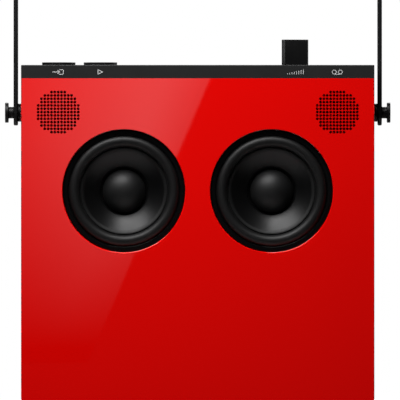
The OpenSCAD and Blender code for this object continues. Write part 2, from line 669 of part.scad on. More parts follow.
module main_board() color("#234f31") difference() {
  union() {
    block([-pcb_w / 2, pcb_y, pcb_low], [pcb_w / 2, pcb_y + pcb_t, pcb_high]);
    // flat-cable socket and power connectors on the front side
    block([-21, pcb_y - 1.4, 80], [-7, pcb_y + eps, 86]);
    for (x = [-60, 60]) block([x - 5, pcb_y - 5, 58], [x + 5, pcb_y + eps, 64]);
    // capacitors, coils and chips on the rear side
    for (x = [-66, -54, -42]) pin_y(x, pcb_y + pcb_t - eps, 76, 4.5, 8);
    for (x = [-66, -50]) block([x - 5, pcb_y + pcb_t - eps, 40], [x + 5, pcb_y + pcb_t + 5, 50]);
    for (x = [20, 44, 66]) block([x - 6, pcb_y + pcb_t - eps, 50], [x + 6, pcb_y + pcb_t + 1.4, 62]);
  }
  for (p = pcb_posts) pin_y(p[0], pcb_y - 1, p[1], 1.6, 4);
  block([jack_x - 5.2, pcb_y - 1, socket_z - 5.2], [jack_x + 5.2, pcb_y + pcb_t + 1, socket_z + 5.2]);
}

module board_screws() color("#8a8a8c") {
  for (p = pcb_posts) translate([p[0], pcb_y + pcb_t, p[1]]) mirror([0, 1, 0])
    pan_screw(2.6, 1.6, 1.2, 6.5);
  for (s = [-1, 1]) translate([s * clamp_x, baffle_back + 3, clamp_z]) mirror([0, 1, 0])
    pan_screw(2.6, 1.6, 1.2, 5);
}

module heatsink() color("#a9abad") {
  y0 = pcb_y + pcb_t;
  block([-24, y0, 68], [16, y0 + 2, 90]);
  for (i = [0:7]) block([-24 + i * 5.5, y0 + 2 - eps, 68], [-24 + i * 5.5 + 1.5, y0 + 8, 90]);
}

// Rounded slot of a flat socket, w wide and h high, from y0 to y1
module slot_y(x, z, w, h, y0, y1) {
  for (e = [-1, 1]) pin_y(x + e * (w - h) / 2, y0, z, h / 2, y1 - y0);
  block([x - (w - h) / 2, y0, z - h / 2], [x + (w - h) / 2, y1, z + h / 2]);
}

module usb_socket() color("#b4b5b7") {
  y0 = pcb_y + pcb_t;
  difference() {
    slot_y(usb_x, socket_z, 9, 3.4, y0, rear_y - pocket_d);
    slot_y(usb_x, socket_z, 8.4, 2.8, y0 + 5, rear_y);
  }
  block([usb_x - 3.2, y0 + 5 - eps, socket_z - 0.35], [usb_x + 3.2, rear_y - pocket_d - 1, socket_z + 0.35]);
}

// The jack's body sits in a cut-out of the board, on a flange
module audio_jack() color("#1a1a1b") difference() {
  mouth_y = rear_y - pocket_d;
  union() {
    block([jack_x - 5, mouth_y - jack_deep - 1.4, socket_z - 5], [jack_x + 5, shell_rear - 1, socket_z + 5]);
    block([jack_x - 7, pcb_y + pcb_t, socket_z - 5], [jack_x + 7, pcb_y + pcb_t + 1, socket_z + 5]);
    pin_y(jack_x, shell_rear - 2, socket_z, 3, mouth_y - shell_rear + 2);
  }
  pin_y(jack_x, mouth_y - jack_deep, socket_z, jack_bore_r, jack_deep + 1);
}

function unit(v) = v / norm(v);
function heading(pts, i) = let (k = min(i, len(pts) - 2)) unit(pts[k + 1] - pts[k]);

// The first ring of a lead, square to its first stretch
function first_ring(pts, r, n) =
  let (d = heading(pts, 0), a = unit(cross(d, abs(d[2]) < 0.9 ? [0, 0, 1] : [1, 0, 0])), b = cross(d, a))
  [for (k = [0:n - 1]) pts[0] + r * (cos(360 * k / n) * a + sin(360 * k / n) * b)];

// Every ring: each is the one before it, carried along the stretch to the mitre plane of the next point
function rings(pts, ring, i) = i == len(pts) - 1 ? [ring] :
  let (d = heading(pts, i), m = unit(d + heading(pts, i + 1)))
  concat([ring], rings(pts, [for (p = ring) p + d * ((pts[i + 1] - p) * m) / (d * m)], i + 1));

// A round lead through a list of points
module lead(pts, r) {
  n = 8;
  all = [for (ring = rings(pts, first_ring(pts, r, n), 0)) for (p = ring) p];
  last = (len(pts) - 1) * n;
  polyhedron(all, concat(
    [[for (k = [0:n - 1]) k], [for (k = [n - 1:-1:0]) last + k]],
    [for (i = [0:len(pts) - 2]) for (k = [0:n - 1]) let (a = i * n, b = (k + 1) % n)
      [a + k, a + n + k, a + n + b, a + b]]));
}

// Speaker and battery leads, and the flat cable to the control board
module internal_wiring() color("#7c1f1f") {
  for (s = [-1, 1]) for (k = [0, 1]) {
    x = s * (60 + k * 3);
    lead([[x, pcb_y - 5.8, 61], [x, 2, 61], [x, 2, 98 + k * 4], [s * (45 + k * 4), 2, 106 + k * 2],
          [s * (45 + k * 4), front_y + 24, 113 + k]], 0.7);
    lead([[x + s * 2, pcb_y - 5.8, 59.5 - k * 2], [s * (100 + k * 3), 4, 59.5 - k * 2],
          [s * (100 + k * 3), 4, 178], [s * (90 + k * 3), front_y + 18.6, 190]], 0.6);
  }
  block([-20, 12, 80], [-8, 12.4, switch_z]);
}

// ---- every node ----

cabinet();
front_panel();
rear_cover();
rear_seal();
rear_cover_screws();
top_panel();
top_panel_screws();
feet();
handle();
left_pivot_washer();
right_pivot_washer();
pivot_inserts();
left_thumbscrew();
right_thumbscrew();
input_button();
play_button();
input_plunger();
play_plunger();
button_switches();
volume_knob();
volume_shaft();
volume_motor();
tape_disc();
tape_shaft();
tape_motor();
shaft_bushes();
motor_screws();
control_board();
control_board_screws();
left_basket();
right_basket();
left_surround();
right_surround();
left_cone();
right_cone();
left_dust_cap();
right_dust_cap();
left_voice_coil();
right_voice_coil();
left_spider();
right_spider();
left_yoke();
right_yoke();
woofer_magnets();
woofer_trim_rings();
woofer_gaskets();
woofer_screws();
left_tweeter();
right_tweeter();
tweeter_domes();
tweeter_screens();
tweeter_screws();
battery_cells();
battery_bracket();
main_board();
board_screws();
heatsink();
usb_socket();
audio_jack();
internal_wiring();
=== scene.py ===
"""Looks of the portable stereo speaker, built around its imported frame.

Metres, +Z up, the front faces -Y, +X is the viewer's right. Every place and size comes from the boxes
of the CAD nodes or from the few named dimensions below.
"""

import json
from math import acos, asin, atan2, cos, hypot, pi, radians, sin, sqrt

import bmesh
import bpy
from mathutils import Matrix, Vector
from mathutils.geometry import tessellate_polygon


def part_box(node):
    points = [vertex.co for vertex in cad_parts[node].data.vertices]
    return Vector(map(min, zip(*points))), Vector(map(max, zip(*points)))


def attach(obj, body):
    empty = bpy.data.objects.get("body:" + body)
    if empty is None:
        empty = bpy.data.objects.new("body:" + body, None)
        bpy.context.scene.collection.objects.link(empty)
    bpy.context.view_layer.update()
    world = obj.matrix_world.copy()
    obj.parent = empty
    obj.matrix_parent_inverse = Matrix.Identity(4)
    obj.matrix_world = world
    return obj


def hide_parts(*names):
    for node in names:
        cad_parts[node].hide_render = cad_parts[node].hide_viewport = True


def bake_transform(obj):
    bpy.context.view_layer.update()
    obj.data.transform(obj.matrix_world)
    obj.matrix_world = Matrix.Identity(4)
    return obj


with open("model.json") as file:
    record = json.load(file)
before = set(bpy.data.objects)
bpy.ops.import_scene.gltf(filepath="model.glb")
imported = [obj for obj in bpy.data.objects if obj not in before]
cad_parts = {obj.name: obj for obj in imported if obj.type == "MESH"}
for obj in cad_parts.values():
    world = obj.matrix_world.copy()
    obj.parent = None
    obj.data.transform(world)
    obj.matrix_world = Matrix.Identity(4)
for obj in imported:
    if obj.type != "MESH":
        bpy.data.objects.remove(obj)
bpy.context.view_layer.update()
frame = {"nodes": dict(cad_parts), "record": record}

MM = 0.001
TURN = 2 * pi


# ---------------------------------------------------------------- places from the frame, and dimensions

def centre(node):
    low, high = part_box(node)
    return (low + high) / 2


def size(node):
    low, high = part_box(node)
    return high - low


panel_low, panel_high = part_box("front_panel")
face_y = panel_low.y
strip_low, strip_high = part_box("top_panel")
body_top = strip_high.z
PANEL_T = 3 * MM
PANEL_EDGE = 0.45 * MM

SIDES = {"left": -1, "right": 1}
woofer = {side: centre(f"{side}_cone") for side in SIDES}
tweeter_z = centre("tweeter_screens").z
ring_out_r = size("woofer_trim_rings").z / 2
woofer_hole_r = ring_out_r + 0.3 * MM

# woofer stations: radii, and depths behind the front face
RUBBER_T = 0.6 * MM
ROLL_R = 3.8 * MM
ring_in_r = woofer_hole_r - 3.7 * MM
roll_mid_r = ring_in_r - 0.1 * MM - ROLL_R
SEAT_DEPTH = 5 * MM
lip_out_r = roll_mid_r - ROLL_R - 0.1 * MM
lip_in_r = lip_out_r - 2.7 * MM
COIL_R = 12.8 * MM

# grilles of the tweeters
TWEETER_X = 92 * MM
HOLE_PITCH = 2.2 * MM
HOLE_R = 0.94 * MM
GRILLE_ROWS = 6

pivot_z = centre("left_thumbscrew").z
arm_low, arm_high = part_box("handle")
BAR_T = 2.8 * MM
BEND_OUTER_R = 8 * MM


# ---------------------------------------------------------------- mesh tools

def circle(cx, cy, r, n):
    return [(cx + r * cos(TURN * k / n), cy + r * sin(TURN * k / n)) for k in range(n)]


def arc(cx, cy, r, start, end, n):
    """Points on an arc, angles in degrees."""
    steps = [radians(start + (end - start) * k / n) for k in range(n + 1)]
    return [(cx + r * cos(a), cy + r * sin(a)) for a in steps]


def fillet(corners, steps=4):
    """A closed outline from (x, y, radius) corners, each rounded by an arc of that radius."""
    out = []
    count = len(corners)
    for k, (x, y, r) in enumerate(corners):
        here = Vector((x, y))
        before = Vector(corners[k - 1][:2])
        after = Vector(corners[(k + 1) % count][:2])
        if r < 1e-7:
            out.append((x, y))
            continue
        u, v = (before - here).normalized(), (after - here).normalized()
        half = acos(max(-1.0, min(1.0, u.dot(v)))) / 2
        middle = here + (u + v).normalized() * (r / sin(half))
        first = here + u * (r / (sin(half) / cos(half)))
        last = here + v * (r / (sin(half) / cos(half)))
        a0 = atan2(first.y - middle.y, first.x - middle.x)
        a1 = atan2(last.y - middle.y, last.x - middle.x)
        turn = (a1 - a0 + pi) % TURN - pi
        out += [(middle.x + r * cos(a0 + turn * i / steps), middle.y + r * sin(a0 + turn * i / steps))
                for i in range(steps + 1)]
    return out


def outward(points):
    """The mitre direction at each point of a closed, anticlockwise outline, pointing out of it."""
    found = []
    for k in range(len(points)):
        a, b, c = Vector(points[k - 1]), Vector(points[k]), Vector(points[(k + 1) % len(points)])
        n1 = Vector(((b - a).y, -(b - a).x)).normalized()
        n2 = Vector(((c - b).y, -(c - b).x)).normalized()
        found.append((n1 + n2) / (1 + n1.dot(n2)))
    return found


def finish_piece(name, bm, body, material, nodes=(), place=None, flat_normal=None, sharp=35):
    """Turns a bmesh into a piece: shading, place, material, body and the CAD nodes that it stands for."""
    bmesh.ops.remove_doubles(bm, verts=bm.verts, dist=1e-7)
    bmesh.ops.recalc_face_normals(bm, faces=bm.faces)
    for face in bm.faces:
        face.smooth = flat_normal is None or abs(face.normal.dot(flat_normal)) < 0.9999
    for edge in bm.edges:
        if len(edge.link_faces) == 2 and edge.calc_face_angle(0) > radians(sharp):
            edge.smooth = False
    mesh = bpy.data.meshes.new(name)
    if place is not None:
        bm.transform(place)
    bm.to_mesh(mesh)
    bm.free()
    piece = bpy.data.objects.new(name, mesh)
    bpy.context.scene.collection.objects.link(piece)
    mesh.materials.append(material)
    if body is not None:
        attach(piece, body)
    if nodes:
        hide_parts(*nodes)
    return piece


def lathe(profile, segments=128, closed=False):
    """A turned shape about Z from (radius, height) points; a point on the axis becomes a pole."""
    bm = bmesh.new()
    rings = []
    for r, h in profile:
        if r < 1e-8:
            rings.append([bm.verts.new((0, 0, h))])
        else:
            rings.append([bm.verts.new((r * cos(TURN * k / segments), r * sin(TURN * k / segments), h))
                          for k in range(segments)])
    pairs = list(zip(rings, rings[1:]))
    if closed:
        pairs.append((rings[-1], rings[0]))
    for low, high in pairs:
        if len(low) == len(high) == 1:
            continue
        for k in range(segments):
            j = (k + 1) % segments
            if len(low) == 1:
                bm.faces.new((low[0], high[k], high[j]))
            elif len(high) == 1:
                bm.faces.new((low[k], low[j], high[0]))
            else:
                bm.faces.new((low[k], low[j], high[j], high[k]))
    return bm


def plate(outline, holes, thickness, edge, back_edge=0.0, steps=4):
    """A flat plate in XY from z = 0 down to -thickness, with rounded edges.

    outline is an anticlockwise list of points. holes is a list of (points, edge radius), also anticlockwise.
    """
    bm = bmesh.new()
    loops = [(outline, edge, -1)] + [(points, r, 1) for points, r in holes]
    angles = [pi / 2 * k / steps for k in range(steps + 1)]
    back_rows = [(0, thickness)]
    if back_edge:
        back_rows = [(back_edge * (1 - cos(a)), thickness - back_edge * (1 - sin(a))) for a in angles]
    fronts, backs = [], []
    for points, r, sign in loops:
        directions = outward(points)
        rows = [(r * (1 - sin(a)), r * (1 - cos(a))) for a in angles] + back_rows
        made = [[bm.verts.new((p[0] + sign * inset * d.x, p[1] + sign * inset * d.y, -depth))
                 for p, d in zip(points, directions)] for inset, depth in rows]
        for upper, lower in zip(made, made[1:]):
            for k in range(len(points)):
                j = (k + 1) % len(points)
                bm.faces.new((upper[k], upper[j], lower[j], lower[k]))
        fronts.append(made[0])
        backs.append(made[-1])
    for rims in (fronts, backs):
        flat = [v for rim in rims for v in rim]
        for a, b, c in tessellate_polygon([[Vector((v.co.x, v.co.y, 0)) for v in rim] for rim in rims]):
            bm.faces.new((flat[a], flat[b], flat[c]))
    return bm


def joined(parts):
    """One bmesh from several, which are used up."""
    whole = bmesh.new()
    for bm in parts:
        mesh = bpy.data.meshes.new("part")
        bm.to_mesh(mesh)
        bm.free()
        whole.from_mesh(mesh)
        bpy.data.meshes.remove(mesh)
    return whole


UP = Vector((0, 0, 1))


def facing_front(x, y, z):
    """Local Z looks out of the front face, local X to the right and local Y up."""
    return Matrix.Translation((x, y, z)) @ Matrix.Rotation(pi / 2, 4, "X")


def facing_side(side, x, y, z):
    """Local Z looks out of the left (-1) or right (+1) side."""
    return Matrix.Translation((x, y, z)) @ Matrix.Rotation(side * pi / 2, 4, "Y")


# ---------------------------------------------------------------- materials

class Recipe:
    """A node material whose textures run on object coordinates, in metres."""

    def __init__(self, name, colour, roughness, **settings):
        self.material = bpy.data.materials.new(name)
        self.material.use_nodes = True
        self.nodes = self.material.node_tree.nodes
        self.links = self.material.node_tree.links
        self.shader = self.nodes["Principled BSDF"]
        self.colour = (*colour, 1)
        self.shader.inputs["Base Color"].default_value = self.colour
        self.shader.inputs["Roughness"].default_value = roughness
        for key, value in settings.items():
            self.shader.inputs[key.replace("_", " ").title().replace("Ior", "IOR")].default_value = value
        self.place = self.nodes.new("ShaderNodeTexCoord").outputs["Object"]
        self.height = None

    def add(self, kind, values=(), **links):
        node = self.nodes.new(kind)
        for key, value in values:
            node.inputs[key].default_value = value
        for key, source in links.items():
            self.links.new(source, node.inputs[key])
        return node

    def stretched(self, scale, offset=(0, 0, 0)):
        node = self.add("ShaderNodeMapping", [("Scale", scale), ("Location", offset)], Vector=self.place)
        return node.outputs["Vector"]

    def noise(self, scale, detail=3, roughness=0.55, vector=None, distortion=0.0):
        node = self.add("ShaderNodeTexNoise", [("Scale", scale), ("Detail", detail), ("Roughness", roughness),
                                               ("Distortion", distortion)], Vector=vector or self.place)
        return node.outputs["Fac"]

    def cells(self, scale):
        return self.add("ShaderNodeTexVoronoi", [("Scale", scale)], Vector=self.place).outputs["Distance"]

    def wave(self, scale, kind="BANDS", direction="X", distortion=0.0, vector=None):
        node = self.add("ShaderNodeTexWave", [("Scale", scale), ("Distortion", distortion)],
                        Vector=vector or self.place)
        node.wave_type = kind
        if kind == "BANDS":
            node.bands_direction = direction
        else:
            node.rings_direction = direction
        return node.outputs["Fac"]

    def fit(self, fac, low, high, start=0.0, end=1.0):
        """fac from start to end becomes low to high."""
        node = self.add("ShaderNodeMapRange", [("From Min", start), ("From Max", end), ("To Min", low),
                                               ("To Max", high)], Value=fac)
        return node.outputs["Result"]

    def maths(self, operation, a, b):
        node = self.nodes.new("ShaderNodeMath")
        node.operation = operation
        for slot, value in enumerate((a, b)):
            if isinstance(value, (int, float)):
                node.inputs[slot].default_value = value
            else:
                self.links.new(value, node.inputs[slot])
        return node.outputs["Value"]

    def tint(self, fac, other, share=1.0):
        """Mixes the colour so far with another one, where fac is high."""
        mix = self.nodes.new("ShaderNodeMix")
        mix.data_type = "RGBA"
        amount = fac if share == 1.0 else self.maths("MULTIPLY", fac, share)
        self.links.new(amount, mix.inputs["Factor"])
        link = self.shader.inputs["Base Color"].links
        if link:
            self.links.new(link[0].from_socket, mix.inputs["A"])
        else:
            mix.inputs["A"].default_value = self.colour
        mix.inputs["B"].default_value = (*other, 1)
        self.links.new(mix.outputs["Result"], self.shader.inputs["Base Color"])
        return self

    def shine(self, fac, low, high):
        """Roughness runs from low to high with fac."""
        self.links.new(self.fit(fac, low, high), self.shader.inputs["Roughness"])
        return self

    def bump(self, fac, depth, strength=1.0):
        """Raises the surface by up to depth metres where fac is high."""
        node = self.add("ShaderNodeBump", [("Strength", strength), ("Distance", depth)], Height=fac)
        if self.height is not None:
            self.links.new(self.height, node.inputs["Normal"])
        self.height = node.outputs["Normal"]
        self.links.new(self.height, self.shader.inputs["Normal"])
        return self


def gloss_red():
    m = Recipe("red_gloss", (0.72, 0.0016, 0.0008), 0.34, specular_ior_level=0.0, coat_weight=1.0,
               coat_roughness=0.015, coat_ior=1.5)
    cloud = m.noise(9, 2)
    m.tint(m.fit(cloud, 0, 1, 0.3, 0.8), (0.66, 0.0012, 0.0006), 0.35)
    m.bump(m.noise(160, 1), 0.0000012)
    return m.material


def grained_black(name, colour, roughness=0.5, grain=2600, depth=0.00003, specular=0.5):
    """Moulded plastic with a spark-eroded grain, a little uneven in gloss, with fine hairline scuffs."""
    m = Recipe(name, colour, roughness, specular_ior_level=specular)
    m.tint(m.noise(60, 4), tuple(c * 1.6 for c in colour), 0.6)
    m.shine(m.noise(35, 3), roughness - 0.07, roughness + 0.09)
    scuffs = m.noise(55, 8, 0.8, vector=m.stretched((1, 1, 9)), distortion=0.4)
    m.tint(m.fit(scuffs, 0, 1, 0.66, 0.74), tuple(c * 2.4 for c in colour), 0.5)
    m.bump(m.noise(grain, 2), depth, 0.6)
    return m.material


def coated_metal(name, colour, roughness=0.34, specular=0.3):
    """Satin black coating on metal: a fine pebble and faint rub marks along the length."""
    m = Recipe(name, colour, roughness, specular_ior_level=specular)
    m.tint(m.noise(90, 4), tuple(c * 1.7 for c in colour), 0.5)
    scratch = m.noise(40, 6, 0.7, vector=m.stretched((1, 14, 14)))
    m.shine(scratch, roughness - 0.06, roughness + 0.08)
    m.bump(m.noise(3400, 2), 0.00001, 0.5)
    return m.material


def roll_rubber():
    m = Recipe("roll_rubber", (0.002, 0.002, 0.0021), 0.48, specular_ior_level=0.23)
    m.tint(m.noise(120, 4), (0.0035, 0.0035, 0.0036), 0.5)
    m.shine(m.noise(50, 3), 0.46, 0.54)
    m.bump(m.noise(2400, 2), 0.000008, 0.5)
    return m.material


def cone_fibre():
    """Coated pressed fibre: short felted threads and a slow unevenness."""
    m = Recipe("cone_fibre", (0.0011, 0.0011, 0.0012), 0.37, specular_ior_level=0.21)
    threads = m.noise(900, 4, 0.6, vector=m.stretched((1, 1, 3)), distortion=1.5)
    m.tint(m.fit(threads, 0, 1, 0.45, 0.75), (0.004, 0.004, 0.0042), 0.6)
    m.shine(m.noise(70, 3), 0.34, 0.4)
    m.bump(threads, 0.00003, 0.7)
    m.bump(m.noise(55, 2), 0.00006, 0.5)
    return m.material


def cap_coated():
    m = Recipe("cap_coated", (0.003, 0.003, 0.0031), 0.52, specular_ior_level=0.25)
    m.tint(m.noise(150, 4), (0.006, 0.006, 0.0062), 0.5)
    m.shine(m.noise(60, 3), 0.48, 0.56)
    m.bump(m.noise(1500, 3), 0.00001, 0.5)
    return m.material


def woven(name, colour, other, scale, roughness=0.85, depth=0.0001):
    """A plain weave seen along Y: two crossing sets of threads."""
    m = Recipe(name, colour, roughness, sheen_weight=0.2)
    warp = m.wave(scale, direction="X", distortion=0.3)
    weft = m.wave(scale, direction="Z", distortion=0.3)
    knots = m.maths("MULTIPLY", warp, weft)
    m.tint(knots, other, 0.8)
    m.shine(m.noise(400, 2), roughness - 0.08, roughness + 0.08)
    m.bump(knots, depth, 0.8)
    return m.material


def bare_metal(name, colour, roughness=0.3, stretch=(30, 1, 1)):
    """Plated or brushed metal with fine lines and a few duller clouds."""
    m = Recipe(name, colour, roughness, metallic=1.0)
    lines = m.noise(220, 4, 0.65, vector=m.stretched(stretch))
    m.tint(m.noise(70, 3), tuple(c * 0.7 for c in colour), 0.5)
    m.shine(lines, roughness - 0.08, roughness + 0.12)
    m.bump(lines, 0.000006, 0.6)
    return m.material


def circuit_green():
    """Solder mask over copper tracks, with rows of tinned pads."""
    m = Recipe("board_green", (0.012, 0.09, 0.035), 0.35)
    tracks = m.wave(260, direction="X", distortion=7.0)
    m.tint(m.fit(tracks, 0, 1, 0.55, 0.7), (0.02, 0.16, 0.06), 0.9)
    pads = m.cells(260)
    m.tint(m.fit(pads, 1, 0, 0.12, 0.2), (0.5, 0.5, 0.46), 0.8)
    m.shine(m.noise(90, 2), 0.28, 0.42)
    m.bump(tracks, 0.00003, 0.5)
    return m.material


def wound_copper():
    m = Recipe("coil_copper", (0.55, 0.2, 0.07), 0.3, metallic=0.9, coat_weight=0.6)
    turns = m.wave(1200, direction="Y")
    m.tint(turns, (0.28, 0.09, 0.03), 0.6)
    m.bump(turns, 0.00006, 0.9)
    return m.material


def knurled_brass():
    m = Recipe("brass", (0.62, 0.42, 0.14), 0.28, metallic=1.0)
    ridges = m.maths("MULTIPLY", m.wave(700, direction="DIAGONAL"), m.wave(700, direction="X"))
    m.tint(m.noise(140, 3), (0.4, 0.26, 0.09), 0.6)
    m.bump(ridges, 0.00008, 0.7)
    return m.material


def cell_wrap():
    m = Recipe("cell_wrap", (0.012, 0.09, 0.3), 0.28, coat_weight=0.4)
    m.tint(m.fit(m.wave(24, direction="X"), 0, 1, 0.9, 0.96), (0.5, 0.5, 0.52), 0.9)
    wrinkles = m.noise(120, 3, vector=m.stretched((0.25, 1, 1)))
    m.shine(wrinkles, 0.2, 0.38)
    m.bump(wrinkles, 0.00005, 0.4)
    return m.material


def ink():
    m = Recipe("symbol_ink", (0.62, 0.62, 0.62), 0.55)
    m.tint(m.noise(3000, 2), (0.5, 0.5, 0.5), 0.4)
    m.bump(m.noise(4000, 1), 0.000004, 0.5)
    return m.material


def turned_black(name, colour, roughness, axis):
    """Satin black with fine rings turned about the vertical axis through a point."""
    m = Recipe(name, colour, roughness, anisotropic=0.4, specular_ior_level=0.3)
    local = m.stretched((1, 1, 1), (-axis.x, -axis.y, 0))
    rings = m.wave(900, "RINGS", "Z", vector=local)
    m.tint(m.noise(80, 4), tuple(c * 1.7 for c in colour), 0.5)
    m.shine(rings, roughness - 0.06, roughness + 0.06)
    m.bump(rings, 0.000006, 0.6)
    return m.material


shell_black = grained_black("shell_black", (0.012, 0.012, 0.0125), 0.5)
strip_black = grained_black("strip_black", (0.0078, 0.0079, 0.008), 0.5, 3600, 0.000012, 0.25)
inner_black = grained_black("inner_black", (0.01, 0.01, 0.0105), 0.5, 1800)
key_black = grained_black("key_black", (0.005, 0.005, 0.0051), 0.38, 4200, 0.000008)
ring_black = grained_black("ring_black", (0.0012, 0.0012, 0.0013), 0.26, 3800, 0.000006, 0.12)
foot_rubber = grained_black("foot_rubber", (0.008, 0.008, 0.008), 0.8, 1500, 0.00005)
foam_black = grained_black("foam_black", (0.004, 0.004, 0.004), 0.9, 1200, 0.0001)
bar_black = coated_metal("bar_black", (0.006, 0.006, 0.0062), 0.38, 0.22)
screw_black = coated_metal("screw_black", (0.004, 0.004, 0.0042), 0.42, 0.18)
basket_black = coated_metal("basket_black", (0.006, 0.006, 0.0062), 0.45)
red = gloss_red()
rubber = roll_rubber()
fibre = cone_fibre()
cap = cap_coated()
screen_cloth = woven("screen_cloth", (0.2, 0.003, 0.002), (0.38, 0.006, 0.004), 700)
spider_cloth = woven("spider_cloth", (0.3, 0.18, 0.07), (0.42, 0.28, 0.12), 420)
dome_silk = woven("dome_silk", (0.1, 0.1, 0.105), (0.17, 0.17, 0.18), 800, 0.5, 0.00003)
plated = bare_metal("plated_steel", (0.52, 0.52, 0.53))
magnet_metal = bare_metal("magnet_alloy", (0.6, 0.6, 0.62), 0.22)
motor_can = bare_metal("motor_can", (0.42, 0.42, 0.43), 0.36, (1, 1, 30))
heat_metal = bare_metal("heat_aluminium", (0.66, 0.67, 0.69), 0.4, (1, 1, 20))
socket_metal = bare_metal("socket_steel", (0.55, 0.55, 0.57), 0.28, (1, 20, 1))
brass = knurled_brass()
board = circuit_green()
copper = wound_copper()
wrap = cell_wrap()
lead_skin = grained_black("lead_pvc", (0.25, 0.012, 0.01), 0.4, 900)

CAD_MATERIALS = {
    "black_shell": shell_black, "red_gloss": red, "gasket_foam": foam_black, "screw_black": screw_black,
    "top_strip": strip_black, "plated_steel": plated, "foot_rubber": foot_rubber, "handle_black": bar_black,
    "brass": brass, "key_black": key_black, "driver_plastic": inner_black, "knob_black": key_black,
    "motor_can": motor_can, "disc_black": key_black, "board_green": board, "basket_steel": basket_black,
    "roll_rubber": rubber, "cone_paper": fibre, "cap_paper": cap, "coil_copper": copper,
    "spider_cloth": spider_cloth, "magnet_alloy": magnet_metal, "ring_black": ring_black,
    "dome_silk": dome_silk, "screen_cloth": screen_cloth, "cell_wrap": wrap,
    "heat_aluminium": heat_metal, "socket_steel": socket_metal, "lead_pvc": lead_skin,
}
for part in frame["record"]["subparts"]:
    node = frame["nodes"][part["node"]]
    node.data.materials.clear()
    node.data.materials.append(CAD_MATERIALS[part["material_slot"]])


# ---------------------------------------------------------------- front panel

def rectangle(x0, y0, x1, y1, r):
    return fillet([(x0, y0, r), (x1, y0, r), (x1, y1, r), (x0, y1, r)])


def grille_centres(x):
    """A square grid of holes, cut to a round field."""
    limit = GRILLE_ROWS ** 2 + 5
    steps = range(-GRILLE_ROWS, GRILLE_ROWS + 1)
    return [(x + i * HOLE_PITCH, tweeter_z + j * HOLE_PITCH)
            for i in steps for j in steps if i * i + j * j <= limit]


def make_front_panel():
    """A gloss plate with soft edges, but square along its top, where the strip begins."""
    holes = []
    for side, sign in SIDES.items():
        holes.append((circle(woofer[side].x, woofer[side].z, woofer_hole_r, 160), PANEL_EDGE))
        holes += [(circle(x, z, HOLE_R, 16), 0) for x, z in grille_centres(sign * TWEETER_X)]
    outline = rectangle(panel_low.x, panel_low.z, panel_high.x, panel_high.z + PANEL_EDGE, 0.1 * MM)
    bm = plate(outline, holes, PANEL_T, PANEL_EDGE)
    for v in bm.verts:
        v.co.y = min(v.co.y, panel_high.z)
    finish_piece("front_panel_gloss", bm, "cabinet", red, ["front_panel"],
                 facing_front(0, face_y, 0), flat_normal=UP)


# ---------------------------------------------------------------- woofers

def at_woofer(side):
    """Local Z runs out of the front, so a depth is a negative height."""
    return facing_front(woofer[side].x, face_y, woofer[side].z)


def trim_ring_profile():
    """A flat ring with a thin collar, which goes round the surround's foot."""
    collar_r, seat = ring_out_r - 0.6 * MM, -SEAT_DEPTH
    return fillet([(ring_in_r, -PANEL_T, 0.5 * MM), (ring_out_r, -PANEL_T, 0.25 * MM),
                   (ring_out_r, seat - RUBBER_T, 0), (collar_r, seat - RUBBER_T, 0),
                   (collar_r, seat, 0), (ring_in_r, seat, 0.1 * MM)])


def surround_profile():
    """Half roll with an outer foot under the trim ring and an inner foot on the cone's lip."""
    foot_r, groove_r, seat = ring_out_r - 0.8 * MM, roll_mid_r - ROLL_R, -SEAT_DEPTH
    top = [(foot_r, seat - RUBBER_T), (foot_r, seat)]
    top += arc(roll_mid_r, seat, ROLL_R, 0, 180, 28)
    top += [(groove_r, seat - 0.9 * MM), (groove_r - 0.5 * MM, seat - 0.9 * MM),
            (groove_r - 0.7 * MM, seat - 0.3 * MM), (groove_r - 0.9 * MM, seat - 0.3 * MM),
            (lip_in_r + 0.25 * MM, seat - 1.15 * MM), (lip_in_r, seat - 1.35 * MM),
            (lip_in_r, seat - 1.8 * MM)]
    inner = [(groove_r - 0.3 * MM, seat - 1.8 * MM), (groove_r + RUBBER_T, seat - RUBBER_T)]
    inner += arc(roll_mid_r, seat, ROLL_R - RUBBER_T, 180, 0, 20)
    return top + inner + [(roll_mid_r + ROLL_R - RUBBER_T, seat - RUBBER_T)]


def cone_profile():
    """A slightly curved cone with a steep neck, and a step in to the voice coil."""
    outer, start = lip_in_r - 0.1 * MM, SEAT_DEPTH + 1.3 * MM
    neck_r, neck_depth = 16.1 * MM, 13.3 * MM
    bow, wall, lip_t, steps = 0.15 * MM, 0.75 * MM, 0.6 * MM, 18
    front = []
    for k in range(steps + 1):
        t = k / steps
        front.append((outer + (neck_r - outer) * t,
                      -(start + (neck_depth - start) * t + bow * sin(pi * t))))
    front += [(15.6 * MM, -15 * MM), (COIL_R + 0.05 * MM, -16.6 * MM)]
    back = [(r, h - wall) for r, h in reversed(front)]
    seat = start + lip_t
    return front + back[:-1] + [(lip_out_r, -seat - lip_t), (lip_out_r, -seat), (outer, -seat)]


def cap_profile():
    """A domed cap whose short skirt stands on the neck of the cone."""
    cap_r, rise, wall, steps = 13.9 * MM, 7.8 * MM, 0.5 * MM, 24
    edge_depth, skirt_depth = 13.4 * MM, 15.6 * MM
    ball = (cap_r ** 2 + rise ** 2) / (2 * rise)
    half = acos(1 - rise / ball)
    front = [(ball * sin(half * k / steps), -(edge_depth - rise + ball - ball * cos(half * k / steps)))
             for k in range(steps + 1)]
    back = [(r * (1 - wall / ball), h - wall) for r, h in reversed(front)]
    skirt = [(cap_r + 0.1 * MM, -edge_depth - 0.2 * MM), (cap_r + 0.2 * MM, -skirt_depth),
             (cap_r - 0.3 * MM, -skirt_depth)]
    return front + skirt + back


